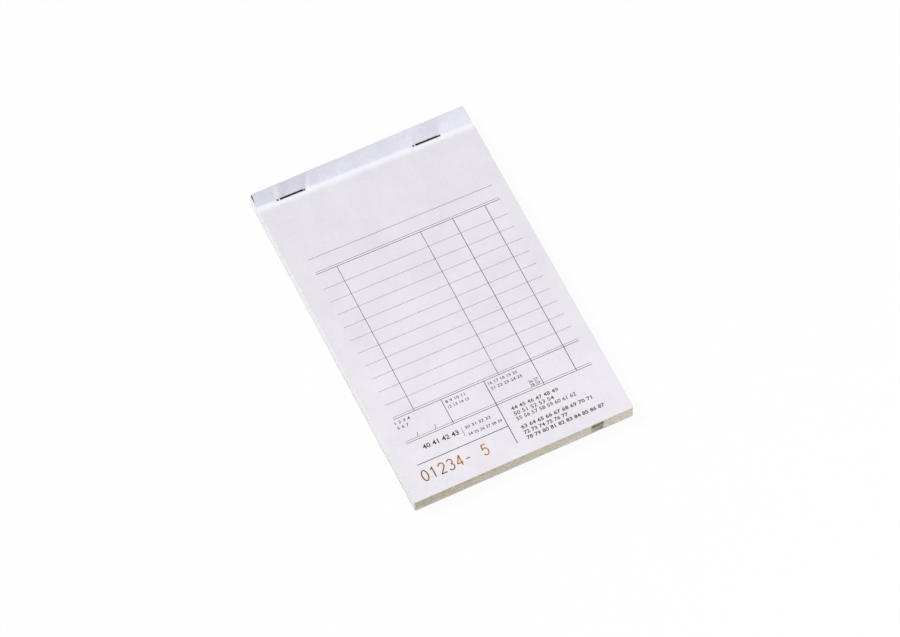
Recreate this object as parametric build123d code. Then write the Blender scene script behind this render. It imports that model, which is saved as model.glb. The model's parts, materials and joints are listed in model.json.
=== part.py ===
"""Wire-stapled pad of duplicate receipt forms, in millimetres.

+X runs along the pad's width, +Y towards the bound edge and +Z up.
The origin is the middle of the underside, on the face that the pad rests on.
"""
from build123d import *
import math
import os

# Pad
PAD_WIDTH = 100.0
PAD_LENGTH = 160.0
SET_COUNT = 50
SETS_PER_NODE = 2
SHEETS_PER_SET = 2

# Sheets and the air between them: loose, at the bound edge and under the staples
SHEET_THICKNESS = 0.056
LOOSE_GAP = 0.011
STUB_GAP = 0.01
PRESSED_GAP = 0.002
BOARD_THICKNESS = 0.9

# Row of staples: distance to the bound edge at mid width, and its small skew in degrees
ROW_TO_EDGE = 7.95
ROW_SKEW = 1.2
STAPLE_SPACING = 62.6
STAPLE_SHIFT = -2.75

# Staple: flat wire, width along the pad's length, and the legs' length under the crown before clinching
WIRE_THICKNESS = 0.5
WIRE_WIDTH = 0.7
INNER_BEND = 0.1
CROWN_LENGTH = 12.8
LEG_LENGTH = 10.0
LEG_CLEARANCE = 0.1
CLINCH_RECESS = 0.02

# Trough that the staples press into the stack, and the rise in front of it
TROUGH_MARGIN = 0.15
RISE_WIDTH = 2.95

# Fold at the top of the rise, and the perforation in front of it
FOLD_GAP = 0.25
FOLD_TO_PERFORATION = 2.0
TIE_PITCH = 2.5
TIE_WIDTH = 0.7
SLIT_WIDTH = 0.16
TIE_EDGE_MARGIN = 0.6

# Worked out from the sizes above
SHEET_COUNT = SET_COUNT * SHEETS_PER_SET
TOP_LEVEL = SHEET_COUNT - 1
ROW_Y = PAD_LENGTH / 2 - ROW_TO_EDGE
HALF_WIRE = WIRE_THICKNESS / 2
BEND_RADIUS = HALF_WIRE + INNER_BEND
LEG_OFFSET = CROWN_LENGTH / 2 - HALF_WIRE
HOLE_LENGTH = WIRE_THICKNESS + 2 * LEG_CLEARANCE
HOLE_WIDTH = WIRE_WIDTH + 2 * LEG_CLEARANCE
TROUGH_HALF = HOLE_WIDTH / 2 + TROUGH_MARGIN
FOLD_Y = -TROUGH_HALF - RISE_WIDTH
PERFORATION_Y = FOLD_Y - FOLD_TO_PERFORATION
STAPLE_CENTRES = (STAPLE_SHIFT - STAPLE_SPACING / 2, STAPLE_SHIFT + STAPLE_SPACING / 2)
CLINCH_HEIGHT = HALF_WIRE + CLINCH_RECESS
REACH = PAD_WIDTH + PAD_LENGTH
PAD_HEIGHT = BOARD_THICKNESS + SHEET_COUNT * (SHEET_THICKNESS + LOOSE_GAP)


def level_height(level, gap):
    """Underside of a sheet, counted up from the board, where the sheets lie this gap apart."""
    return BOARD_THICKNESS + level * (SHEET_THICKNESS + gap)


# Crown on the pressed stack, and what is left of the legs for the clinch
CROWN_HEIGHT = level_height(TOP_LEVEL, PRESSED_GAP) + SHEET_THICKNESS + HALF_WIRE
CLINCH_LENGTH = LEG_LENGTH - (CROWN_HEIGHT - HALF_WIRE - CLINCH_HEIGHT)


def on_row(shape):
    """Move a shape drawn about the row of staples, X along the row, to its place on the pad."""
    return Pos(0, ROW_Y, 0) * Rot(0, 0, -ROW_SKEW) * shape


def leg_positions():
    """X of the four staple legs along the row."""
    return [centre + side * LEG_OFFSET for centre in STAPLE_CENTRES for side in (-1, 1)]


def leg_holes():
    """Holes that the staple legs pass through, in board and sheets."""
    holes = [Pos(x, 0) * Rectangle(HOLE_LENGTH, HOLE_WIDTH) for x in leg_positions()]
    return on_row(extrude(Sketch() + holes, amount=PAD_HEIGHT))


def band(near_y, far_y):
    """Strip of a sheet between two lines parallel to the row of staples, drawn about the row."""
    return Pos(0, (near_y + far_y) / 2) * Rectangle(2 * REACH, near_y - far_y)


def trimmed(sketch):
    """Place a sketch drawn about the row and cut it to the pad's outline."""
    return on_row(sketch) & Rectangle(PAD_WIDTH, PAD_LENGTH)


def ties(near_y, far_y):
    """Paper ties that cross the slits of the perforation, between two lines."""
    count = int((PAD_WIDTH - 2 * TIE_EDGE_MARGIN - TIE_WIDTH) / TIE_PITCH) + 1
    first = -(count - 1) / 2 * TIE_PITCH
    middle_y = (near_y + far_y) / 2
    return [Pos(first + i * TIE_PITCH, middle_y) * Rectangle(TIE_WIDTH, near_y - far_y) for i in range(count)]


def pressed_sheet(level, outline):
    """Sheet that dips into the trough under the staples, cut to an outline prism."""
    loose = level_height(level, LOOSE_GAP)
    pressed = level_height(level, PRESSED_GAP)
    stub_rise = level_height(level, STUB_GAP) - pressed
    stub_slope = stub_rise / (ROW_TO_EDGE - TROUGH_HALF)
    lower = [
        (-REACH, loose),
        (FOLD_Y, loose),
        (-TROUGH_HALF, pressed),
        (TROUGH_HALF, pressed),
        (REACH, pressed + stub_slope * (REACH - TROUGH_HALF)),
    ]
    upper = [(y, z + SHEET_THICKNESS) for y, z in reversed(lower)]
    side_view = make_face(Polyline(*lower, *upper, close=True))
    return on_row(extrude(Plane.YZ * side_view, amount=REACH, both=True)) & outline


def flat_sheet(level, sketch):
    """Flat piece of a sheet in front of the fold."""
    return Pos(0, 0, level_height(level, LOOSE_GAP)) * extrude(trimmed(sketch), amount=SHEET_THICKNESS)


def staple(centre):
    """Flat wire staple: crown on the stack, two legs through it, ends clinched inwards under the board."""
    tip = LEG_OFFSET - CLINCH_LENGTH
    half = [(tip, CLINCH_HEIGHT), (LEG_OFFSET, CLINCH_HEIGHT), (LEG_OFFSET, CROWN_HEIGHT)]
    other_half = [(-x, z) for x, z in reversed(half)]
    path = Plane.XZ * FilletPolyline(*half, *other_half, radius=BEND_RADIUS)
    section = Plane(origin=path @ 0, x_dir=(0, 1, 0), z_dir=path % 0) * Rectangle(WIRE_WIDTH, WIRE_THICKNESS)
    return on_row(Pos(centre, 0, 0) * sweep(section, path=path))


def back_board(holes):
    """Grey board with the leg holes and the grooves that the clinched wire ends are pressed into."""
    depth = CLINCH_HEIGHT + BEND_RADIUS + LEG_CLEARANCE
    length = CLINCH_LENGTH + HOLE_LENGTH / 2 + LEG_CLEARANCE
    grooves = []
    for centre in STAPLE_CENTRES:
        for side in (-1, 1):
            middle = centre + side * (LEG_OFFSET + HOLE_LENGTH / 2 - length / 2)
            grooves.append(Pos(middle, 0) * Rectangle(length, HOLE_WIDTH))
    board = extrude(Rectangle(PAD_WIDTH, PAD_LENGTH), amount=BOARD_THICKNESS)
    return board - holes - on_row(extrude(Sketch() + grooves, amount=depth))


def original_level(number):
    """Level of the original of a set; set 1 is on top."""
    return SHEET_COUNT - SHEETS_PER_SET * (number - 1) - 1


def copy_level(number):
    """Level of the copy of a set, just under its original."""
    return original_level(number) - 1


def first_set(holes):
    """Top set: the original in stub, hinge strip and tear-off leaf, the copy in stub and leaf."""
    stub_original = extrude(trimmed(band(REACH, FOLD_Y + FOLD_GAP)), amount=PAD_HEIGHT) - holes
    stub_copy = extrude(trimmed(band(REACH, FOLD_Y)), amount=PAD_HEIGHT) - holes
    strip_end = PERFORATION_Y + SLIT_WIDTH / 2
    leaf_end = PERFORATION_Y - SLIT_WIDTH / 2
    strip = band(FOLD_Y, strip_end) + ties(strip_end, PERFORATION_Y)
    leaf = band(leaf_end, -REACH) + ties(PERFORATION_Y, leaf_end)
    return {
        "original_01_stub": pressed_sheet(original_level(1), stub_original),
        "original_01_hinge_strip": flat_sheet(original_level(1), strip),
        "original_01_leaf": flat_sheet(original_level(1), leaf),
        "copy_01_stub": pressed_sheet(copy_level(1), stub_copy),
        "copy_01_leaf": flat_sheet(copy_level(1), band(FOLD_Y, -REACH)),
    }


def other_sets(holes):
    """Second set sheet by sheet, the sets below it in groups of separate sheets."""
    outline = extrude(Rectangle(PAD_WIDTH, PAD_LENGTH), amount=PAD_HEIGHT) - holes
    nodes = {
        "original_02": pressed_sheet(original_level(2), outline),
        "copy_02": pressed_sheet(copy_level(2), outline),
    }
    for first in range(3, SET_COUNT + 1, SETS_PER_NODE):
        last = min(first + SETS_PER_NODE - 1, SET_COUNT)
        numbers = range(first, last + 1)
        originals = [pressed_sheet(original_level(number), outline) for number in numbers]
        copies = [pressed_sheet(copy_level(number), outline) for number in numbers]
        nodes[f"originals_{first:02d}_to_{last:02d}"] = Compound(children=originals)
        nodes[f"copies_{first:02d}_to_{last:02d}"] = Compound(children=copies)
    return nodes


def pad_nodes():
    """All pieces of the pad by name."""
    holes = leg_holes()
    nodes = {
        "back_board": back_board(holes),
        "staple_left": staple(STAPLE_CENTRES[0]),
        "staple_right": staple(STAPLE_CENTRES[1]),
    }
    nodes.update(first_set(holes))
    nodes.update(other_sets(holes))
    return nodes


def fold_line(level):
    """Point and direction of a leaf's fold, on the upper face of its sheet."""
    skew = math.radians(-ROW_SKEW)
    point = (-FOLD_Y * math.sin(skew), ROW_Y + FOLD_Y * math.cos(skew))
    height = level_height(level, LOOSE_GAP) + SHEET_THICKNESS
    return (*point, height), (math.cos(skew), math.sin(skew), 0.0)


os.makedirs("parts", exist_ok=True)
for name, shape in pad_nodes().items():
    export_step(shape, f"parts/{name}.step")
print("copy fold", fold_line(copy_level(1)))
print("original fold", fold_line(original_level(1)))
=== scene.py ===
"""Looks of a wire-stapled pad of duplicate receipt forms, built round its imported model.

Lengths are in metres. +X runs along the pad's width, +Y towards the bound edge and +Z up.
"""
import json
import logging
import math
import random
from abc import ABC, abstractmethod
from dataclasses import dataclass, field
from enum import Enum
from itertools import count
from typing import Callable, Iterator, Optional, Sequence, Union

import bmesh
import bpy
from mathutils import Matrix, Vector


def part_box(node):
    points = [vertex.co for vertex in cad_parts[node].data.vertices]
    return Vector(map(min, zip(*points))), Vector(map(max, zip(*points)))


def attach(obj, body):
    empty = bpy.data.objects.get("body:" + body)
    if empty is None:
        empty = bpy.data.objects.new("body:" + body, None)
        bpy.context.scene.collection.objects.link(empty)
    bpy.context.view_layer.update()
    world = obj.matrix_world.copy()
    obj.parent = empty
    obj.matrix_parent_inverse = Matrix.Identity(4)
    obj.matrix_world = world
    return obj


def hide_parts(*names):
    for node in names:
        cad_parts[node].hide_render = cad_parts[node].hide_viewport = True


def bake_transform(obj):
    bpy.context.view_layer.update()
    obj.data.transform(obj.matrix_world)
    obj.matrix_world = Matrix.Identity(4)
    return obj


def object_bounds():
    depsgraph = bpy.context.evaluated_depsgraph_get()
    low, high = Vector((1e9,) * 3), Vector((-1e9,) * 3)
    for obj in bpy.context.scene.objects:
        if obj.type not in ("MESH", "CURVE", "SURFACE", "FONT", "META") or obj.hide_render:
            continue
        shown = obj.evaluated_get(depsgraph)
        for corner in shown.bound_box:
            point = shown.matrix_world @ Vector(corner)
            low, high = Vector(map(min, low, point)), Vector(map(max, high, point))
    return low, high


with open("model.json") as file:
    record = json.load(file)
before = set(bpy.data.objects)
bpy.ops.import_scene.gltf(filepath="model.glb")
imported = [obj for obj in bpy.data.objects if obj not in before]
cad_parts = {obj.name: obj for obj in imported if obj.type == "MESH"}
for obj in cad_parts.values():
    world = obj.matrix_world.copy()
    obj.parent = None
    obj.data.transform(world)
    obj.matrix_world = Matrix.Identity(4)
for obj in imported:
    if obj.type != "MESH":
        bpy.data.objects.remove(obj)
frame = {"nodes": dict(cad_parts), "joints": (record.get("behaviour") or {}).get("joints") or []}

CAD_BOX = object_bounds()
MM = 0.001
MERGE = 0.001 * MM
SETS = 50
SHEETS = 2 * SETS
LOG = logging.getLogger("receipt_pad")
Colour = tuple[float, float, float]


def smooth(share: float) -> float:
    """Ease a share from 0 to 1, flat at both ends and beyond them."""
    held = min(max(share, 0.0), 1.0)
    return held * held * (3.0 - 2.0 * held)


def spread(start: float, end: float, step: float) -> list[float]:
    """Even steps from start to end, both included, none longer than the step."""
    parts = max(1, math.ceil(abs(end - start) / step))
    return [start + (end - start) * i / parts for i in range(parts + 1)]


def grow(mesh: bmesh.types.BMesh, faces: Sequence[bmesh.types.BMFace],
         step: Sequence[float]) -> list[bmesh.types.BMFace]:
    """Extrude faces and move what has grown.

    Args:
        mesh: The mesh.
        faces: Faces to extrude together.
        step: How far and which way.

    Returns:
        The faces at the new end.
    """
    grown = bmesh.ops.extrude_face_region(mesh, geom=faces)["geom"]
    verts = [item for item in grown if isinstance(item, bmesh.types.BMVert)]
    bmesh.ops.translate(mesh, verts=verts, vec=step)
    return [item for item in grown if isinstance(item, bmesh.types.BMFace)]


def rounded(mesh: bmesh.types.BMesh, geom: Sequence, radius: float, segments: int, affect: str) -> None:
    """Round edges or corners.

    Args:
        mesh: The mesh.
        geom: Its edges or its corner vertices.
        radius: Radius of the rounding.
        segments: Steps of the rounding.
        affect: What is rounded, EDGES or VERTICES.
    """
    bmesh.ops.bevel(
        mesh, geom=geom, offset=radius, segments=segments, profile=0.5, affect=affect, material=-1
    )


def shade(mesh: bmesh.types.BMesh, sharp_angle: float) -> None:
    """Turn all faces outwards and shade them smooth, except across edges past the sharp angle.

    Args:
        mesh: The mesh.
        sharp_angle: Angle between two faces that stays sharp.
    """
    bmesh.ops.recalc_face_normals(mesh, faces=mesh.faces[:])
    for face in mesh.faces:
        face.smooth = True
    for edge in mesh.edges:
        edge.smooth = edge.calc_face_angle(0.0) < sharp_angle


def show(name: str, data: bpy.types.ID) -> bpy.types.Object:
    """Put an object with this data into the scene.

    Args:
        name: The object's name.
        data: Its mesh, curve, lamp or camera.

    Returns:
        The object.
    """
    made = bpy.data.objects.new(name, data)
    bpy.context.scene.collection.objects.link(made)
    return made


def piece_of(mesh: bmesh.types.BMesh, name: str, *materials: bpy.types.Material) -> bpy.types.Object:
    """Make an object at the origin from a finished mesh.

    Args:
        mesh: The mesh, which is freed.
        name: The object's name.
        materials: Its materials, in the order of the faces' indices.

    Returns:
        The object, linked to the scene.
    """
    data = bpy.data.meshes.new(name)
    mesh.to_mesh(data)
    mesh.free()
    for material in materials:
        data.materials.append(material)
    LOG.info("%s: %d faces", name, len(data.polygons))
    return show(name, data)


class Value:
    """Socket of a node graph that takes part in Python expressions."""

    def __init__(self, graph: "Graph", socket: bpy.types.NodeSocket) -> None:
        """Wrap an output socket."""
        self.graph = graph
        self.socket = socket

    def math(self, operation: str, *operands: "Operand") -> "Value":
        """Add a Math node with its operands in the order of its sockets."""
        return self.graph.add("ShaderNodeMath", {"operation": operation}, dict(enumerate(operands)))

    def __add__(self, other: "Operand") -> "Value":
        """Sum with a number or value."""
        return self.math("ADD", self, other)

    __radd__ = __add__

    def __sub__(self, other: "Operand") -> "Value":
        """Difference from a number or value."""
        return self.math("SUBTRACT", self, other)

    def __rsub__(self, other: "Operand") -> "Value":
        """Difference of a number from this value."""
        return self.math("SUBTRACT", other, self)

    def __mul__(self, other: "Operand") -> "Value":
        """Product with a number or value."""
        return self.math("MULTIPLY", self, other)

    __rmul__ = __mul__

    def __truediv__(self, other: "Operand") -> "Value":
        """Quotient by a number or value."""
        return self.math("DIVIDE", self, other)

    def __abs__(self) -> "Value":
        """Distance from zero."""
        return self.math("ABSOLUTE", self)

    def above(self, edge: float, softness: float) -> "Value":
        """Mask that turns from 0 to 1 about an edge, over the width of its softness."""
        turned = (self - (edge - softness / 2.0)) / softness
        return self.graph.add("ShaderNodeClamp", {}, {"Value": turned})


Operand = Union[float, Value]


class Graph:
    """Node graph of a material or of the world."""

    MIX_FACTOR = 0
    MIX_FIRST = 6
    MIX_SECOND = 7
    MIX_COLOUR = 2

    def __init__(self, owner: Union[bpy.types.Material, bpy.types.World]) -> None:
        """Start an empty graph on its owner.

        Args:
            owner: The material or world.
        """
        owner.use_nodes = True
        self.tree = owner.node_tree
        self.tree.nodes.clear()

    def add(
        self,
        kind: str,
        settings: Optional[dict[str, object]] = None,
        sockets: Optional[dict[Union[int, str], object]] = None,
        output: Union[int, str] = 0,
    ) -> Value:
        """Add a node.

        Args:
            kind: The node's type.
            settings: Properties that are set before its sockets.
            sockets: Values, or links to other nodes, by the socket's name or index.
            output: The socket that the node is used for.

        Returns:
            That socket.
        """
        node = self.tree.nodes.new(kind)
        for name, setting in (settings or {}).items():
            setattr(node, name, setting)
        for key, operand in (sockets or {}).items():
            self.plug(node.inputs[key], operand)
        return Value(self, node.outputs[output]) if node.outputs else Value(self, None)

    def plug(self, socket: bpy.types.NodeSocket, operand: object) -> None:
        """Link a socket to a value, or set it to a number or colour.

        Args:
            socket: The input socket.
            operand: Value, number or colour.
        """
        if isinstance(operand, Value):
            self.tree.links.new(operand.socket, socket)
        elif isinstance(operand, tuple) and socket.type == "RGBA":
            socket.default_value = (*operand, 1.0)
        else:
            socket.default_value = operand

    def mix(self, factor: Operand, first: object, second: object) -> Value:
        """Mix two colours, with the factor as the second one's share."""
        sockets = {self.MIX_FACTOR: factor, self.MIX_FIRST: first, self.MIX_SECOND: second}
        return self.add("ShaderNodeMix", {"data_type": "RGBA"}, sockets, self.MIX_COLOUR)

    def place(self) -> Value:
        """Place on the object, in metres."""
        return self.add("ShaderNodeTexCoord", output="Object")

    def axes(self) -> tuple[Value, Value, Value]:
        """Place on the object along each axis."""
        node = self.add("ShaderNodeSeparateXYZ", {}, {0: self.place()}).socket.node
        return tuple(Value(self, output) for output in node.outputs)

    def noise(self, size: float, detail: float = 2.0, stretch: Colour = (1.0, 1.0, 1.0)) -> Value:
        """Cloudy noise on the object.

        Args:
            size: Size of a cloud.
            detail: Octaves of finer noise.
            stretch: How many times longer the clouds are along each axis.

        Returns:
            The noise, about 0.5 in the mean.
        """
        scale = tuple(1.0 / (size * part) for part in stretch)
        mapped = self.add("ShaderNodeMapping", {}, {"Vector": self.place(), "Scale": scale})
        return self.add("ShaderNodeTexNoise", {}, {"Vector": mapped, "Scale": 1.0, "Detail": detail})

    def bump(self, height: Value, strength: float, depth: float) -> Value:
        """Turn a height from 0 to 1 into a bumped normal, where 1 stands for the depth."""
        return self.add("ShaderNodeBump", {}, {"Strength": strength, "Distance": depth, "Height": height})

    def surface(self, **sockets: object) -> None:
        """End the graph of a material in one surface shader, with its sockets by name.

        Args:
            sockets: Values of the shader's sockets, with underscores for spaces.
        """
        named = {name.replace("_", " "): operand for name, operand in sockets.items()}
        shader = self.add("ShaderNodeBsdfPrincipled", {}, named)
        self.add("ShaderNodeOutputMaterial", {}, {"Surface": shader})


@dataclass(frozen=True)
class Finish(ABC):
    """Finish of a piece, made into a material by its own graph."""

    name: str

    @abstractmethod
    def dress(self, graph: Graph) -> None:
        """Build the finish in an empty graph."""

    def material(self) -> bpy.types.Material:
        """Make the material.

        Returns:
            The material.
        """
        made = bpy.data.materials.new(self.name)
        self.dress(Graph(made))
        return made


class Paper(Enum):
    """Kind of sheet in a set."""

    ORIGINAL = "original"
    COPY = "copy"

    @property
    def slot(self) -> str:
        """Name of the paper's material slot."""
        return f"{self.value}_paper"


@dataclass(frozen=True)
class Crease:
    """Crease of the stub that runs back from the row of staples, raised or, with less than no strength, sunk.

    Its methods take numbers and values of a node graph alike.
    """

    along: float
    turn: float
    width: float
    strength: float
    length: float = 8 * MM

    def beside(self, along: Operand, behind: Operand) -> Operand:
        """Distance of a place to the right of the crease, in widths."""
        return ((along - self.along) * math.cos(self.turn) - behind * math.sin(self.turn)) / self.width

    def down(self, along: Operand, behind: Operand) -> Operand:
        """Share of the crease's length at which a place lies."""
        return ((along - self.along) * math.sin(self.turn) + behind * math.cos(self.turn)) / self.length


CREASES = (
    Crease(-40.9 * MM, 0.45, 1.2 * MM, 1.3),
    Crease(-37.7 * MM, 0.62, 1.2 * MM, -0.9),
    Crease(-33.4 * MM, 0.55, 1.0 * MM, 0.3),
    Crease(-28.8 * MM, 0.54, 1.1 * MM, -1.0),
    Crease(-26.7 * MM, 0.58, 0.9 * MM, 1.2),
    Crease(-22.8 * MM, 0.5, 1.2 * MM, -0.4, 6 * MM),
    Crease(20.9 * MM, 0.4, 1.2 * MM, 0.5, 6 * MM),
    Crease(23.1 * MM, 0.3, 1.2 * MM, -0.6, 6 * MM),
    Crease(32.4 * MM, 0.6, 1.3 * MM, -0.6),
    Crease(36.3 * MM, 0.5, 1.2 * MM, 0.7, 6 * MM),
)


@dataclass(frozen=True)
class PaperFinish(Finish):
    """Uncoated form paper: faint clouding, flecks, short fibres, a soft tooth and a slight cockle.

    It grows a little deeper towards the bound edge, a painted shade, and a painted shadow of the gap under
    the lifted sheets darkens its corner left of the staples.
    """

    pale: Colour
    deep: Colour
    # painted shadow of the gap under the lifted sheets at the left end of the bound edge
    dust: Colour = (0.08, 0.07, 0.06)
    dusty: float = 0.9
    dust_left: float = -49.6 * MM
    dust_right: float = -48 * MM
    dust_front: float = 75.8 * MM
    dust_soft: float = 1 * MM
    dust_sharp: float = 0.15 * MM
    # painted shade: the paper grows deeper towards the bound edge
    drift: float = 1.2
    cloud_size: float = 14 * MM
    fleck_size: float = 1.5 * MM
    fibre_size: float = 0.3 * MM
    cockle_size: float = 5 * MM
    cockle_depth: float = 0.05 * MM
    sheen: float = 0.25

    def colour(self, graph: Graph, tone: Value) -> Value:
        """Colour of the paper where its clouding, flecks and fibres have this tone.

        Args:
            graph: Graph of the material.
            tone: Noise, about 0.5 in the mean.

        Returns:
            The colour.
        """
        x, y, _ = graph.axes()
        # painted shade, deeper towards the bound edge
        paper = graph.mix((tone + y * self.drift).above(0.5, 0.45), self.pale, self.deep)
        # painted shadow of the gap under the lifted sheets, in the corner left of the staples
        inside = x.above(self.dust_left, self.dust_sharp) * (1.0 - x.above(self.dust_right, self.dust_soft))
        corner = inside * y.above(self.dust_front, self.dust_soft)
        return graph.mix(corner * self.dusty, paper, self.dust)

    def dress(self, graph: Graph) -> None:
        """Build the finish of the sheets' faces.

        Args:
            graph: Empty graph of the material.
        """
        fibres = graph.noise(self.fibre_size, 3.0)
        flecks = graph.noise(self.fleck_size, 3.0)
        clouds = graph.noise(self.cloud_size, 4.0)
        cockle = graph.noise(self.cockle_size, 2.0)
        graph.surface(
            Base_Color=self.colour(graph, clouds * 0.5 + flecks * 0.3 + fibres * 0.2),
            Roughness=fibres * 0.16 + 0.76,
            Specular_IOR_Level=self.sheen,
            Normal=graph.bump(cockle + flecks * 0.12 + fibres * 0.06, 0.5, self.cockle_depth),
        )


@dataclass(frozen=True)
class StubFinish(PaperFinish):
    """Form paper whose stub, behind the row of staples, is creased and dented and painted cooler and darker
    as shade.

    The painted shade grows deeper towards the left and towards the bound edge, and a painted highlight lies
    on the band that rises in front of the row.
    """

    # painted shade: the stub's colours, cooler and darker than the paper in front of the row
    stub_pale: Colour = (0.85, 0.845, 0.96)
    stub_deep: Colour = (0.645, 0.637, 0.75)
    # painted highlight on the band that rises in front of the row
    rise: Colour = (0.88, 0.88, 0.96)
    row: float = 72.05 * MM
    row_slope: float = -0.0209
    lean: float = 3.0
    deepening: float = 14.0
    deepening_middle: float = 3.5 * MM
    uneven_size: float = 2.5 * MM
    crease_waver: float = 1.4 * MM
    edge_waver: float = 1.6 * MM
    rise_start: float = -2.6 * MM
    rise_soft: float = 1.8 * MM
    stub_start: float = 0.2 * MM
    stub_soft: float = 1.3 * MM
    # painted light and shade along the creases' flanks
    crease_tone: float = 0.15
    crowns: tuple[float, ...] = (-34.05 * MM, 28.55 * MM)
    crown_half: float = 6.4 * MM
    # painted shade in the dents behind the crowns
    dent_slope: float = 0.5
    dent_soft: float = 2 * MM
    dent_tone: float = 0.09

    def relief(self, x: Value, behind: Value) -> Value:
        """Painted light and shade of the creases and painted shade of the dents behind the crowns, above 0
        where the paper is paler.

        Args:
            x: Place along the width.
            behind: Distance behind the row of staples.

        Returns:
            The tone.
        """
        total = 0.0
        for crease in CREASES:
            down = crease.down(x, behind)
            line = 1.0 - abs(crease.beside(x, behind)).above(0.7, 1.0)
            ends = down.above(0.06, 0.12) * (1.0 - down.above(0.8, 0.5))
            total = total + line * ends * (self.crease_tone * crease.strength)
        for middle in self.crowns:
            beside = abs(x - behind * self.dent_slope - middle)
            total = total - (1.0 - beside.above(self.crown_half, self.dent_soft)) * self.dent_tone
        return total

    def colour(self, graph: Graph, tone: Value) -> Value:
        """Colour of the paper in front of the row and behind it, with painted shade on the stub and a painted
        highlight on the rise.

        Args:
            graph: Graph of the material.
            tone: Noise, about 0.5 in the mean.

        Returns:
            The colour.
        """
        x, y, _ = graph.axes()
        uneven = graph.noise(self.uneven_size, 2.0) - 0.5
        behind = y - x * self.row_slope - self.row
        # painted light and shade of the creases and of the dents
        relief = self.relief(x + uneven * self.crease_waver, behind)
        # painted shade of the stub, deeper towards the left and towards the bound edge
        slope = tone - x * self.lean + (behind - self.deepening_middle) * self.deepening
        stub = graph.mix((slope - relief + uneven * 0.15).above(0.5, 0.6), self.stub_pale, self.stub_deep)
        wavering = behind + uneven * self.edge_waver
        # painted highlight on the rising band in front of the row
        lit_rise_share = wavering.above(self.rise_start, self.rise_soft)
        front = graph.mix(lit_rise_share, super().colour(graph, tone), self.rise)
        return graph.mix(wavering.above(self.stub_start, self.stub_soft), front, stub)


@dataclass(frozen=True)
class EdgeFinish(Finish):
    """Cut edges of stacked sheets, grimy and painted with warm shade in front, with a painted shadow line
    under the upper sheets and the printer's mark across them.
    """

    pale: Colour
    deep: Colour
    # ageing and handling grime together with painted warm shade on the front edge
    aged: Colour = (0.94, 0.875, 0.775)
    handled: Colour = (0.55, 0.485, 0.345)
    # painted shadow of the line under the upper sheets on the front edge
    soil: Colour = (0.09, 0.08, 0.065)
    mark: Colour = (0.05, 0.043, 0.036)
    sheet_pitch: float = 0.067 * MM
    streak_length: float = 5 * MM
    layer_height: float = 0.4 * MM
    layer_length: float = 45 * MM
    clump_size: float = 1.1 * MM
    fibre_size: float = 0.15 * MM
    front: float = CAD_BOX[0].y + 0.8 * MM
    front_soft: float = 0.4 * MM
    side_end: float = -58 * MM
    side_fade: float = 30 * MM
    side_bottom: float = 3 * MM
    side_rise: float = 2 * MM
    # grime and painted shade on the sides near the front
    side_touch: float = 0.16
    clean_top: float = 7.2 * MM
    clean_soft: float = 0.5 * MM
    clean_share: float = 0.85
    # grime and painted shade on the front edge, more to the left and higher up
    touch: float = 0.56
    touch_lean: float = 7.0
    touch_rise: float = 60.0
    touch_middle: float = 4 * MM
    seam: float = CAD_BOX[1].z - 1.5 * MM
    seam_half: float = 0.25 * MM
    seam_soft: float = 0.4 * MM
    seam_soil: float = 0.25
    mark_middle: float = 33.3 * MM
    mark_width: float = 5.6 * MM
    mark_soft: float = 0.25 * MM
    mark_ragged: float = 0.9 * MM
    mark_height: float = 5.6 * MM
    mark_dark_half: float = 0.4 * MM
    mark_dark_soft: float = 0.6 * MM

    def dress(self, graph: Graph) -> None:
        """Build the finish of the sheets' cut edges.

        Args:
            graph: Empty graph of the material.
        """
        x, y, z = graph.axes()
        long = self.streak_length / self.sheet_pitch
        streaks = graph.noise(self.sheet_pitch, 1.0, (long, long, 1.5))
        drawn = self.layer_length / self.layer_height
        layers = graph.noise(self.layer_height, 2.0, (drawn, drawn, 1.0)).above(0.5, 0.25)
        clumps = graph.noise(self.clump_size, 3.0, (1.7, 1.7, 1.1))
        fibres = graph.noise(self.fibre_size, 2.0)
        grain = (streaks * 0.6 + fibres * 0.4).above(0.5, 0.35)
        clean = graph.mix(grain * 0.5 + layers * 0.5, self.pale, self.deep)

        in_front = 1.0 - y.above(self.front, self.front_soft)
        on_sides = (1.0 - in_front) * (1.0 - y.above(self.side_end, self.side_fade))
        near_front = on_sides * z.above(self.side_bottom, self.side_rise)
        lumps = clumps.above(0.5, 0.24)
        used = 1.0 - self.clean_share * z.above(self.clean_top, self.clean_soft)
        # grime and painted warm shade on the front edge and near it on the sides
        grime_and_shade_ramp = self.touch - x * self.touch_lean + (z - self.touch_middle) * self.touch_rise
        grime_and_shade_mask = in_front * used * grime_and_shade_ramp + near_front * self.side_touch
        grime_and_shade_share = grime_and_shade_mask * (lumps * 0.7 + layers * 0.4 + 0.45)
        handled = graph.mix(grime_and_shade_share, graph.mix(in_front, clean, self.aged), self.handled)

        # painted shadow line under the upper sheets
        seam = 1.0 - abs(z - self.seam).above(self.seam_half, self.seam_soft)
        seam_shaded = graph.mix(in_front * seam * lumps * self.seam_soil, handled, self.soil)

        ragged = x + (streaks - 0.5) * self.mark_ragged
        across = 1.0 - abs(ragged - self.mark_middle).above(self.mark_width / 2.0, self.mark_soft)
        darkest = 1.0 - abs(z - self.mark_height).above(self.mark_dark_half, self.mark_dark_soft)
        height = 0.62 + 0.7 * darkest
        printed = in_front * across * used * height * (lumps * 0.6 + 0.7)
        graph.surface(
            Base_Color=graph.mix(printed, seam_shaded, self.mark),
            Roughness=fibres * 0.1 + 0.85,
            Specular_IOR_Level=0.1,
            Normal=graph.bump(fibres * 0.5 + streaks * 0.5, 0.1, 0.03 * MM),
        )


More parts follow.
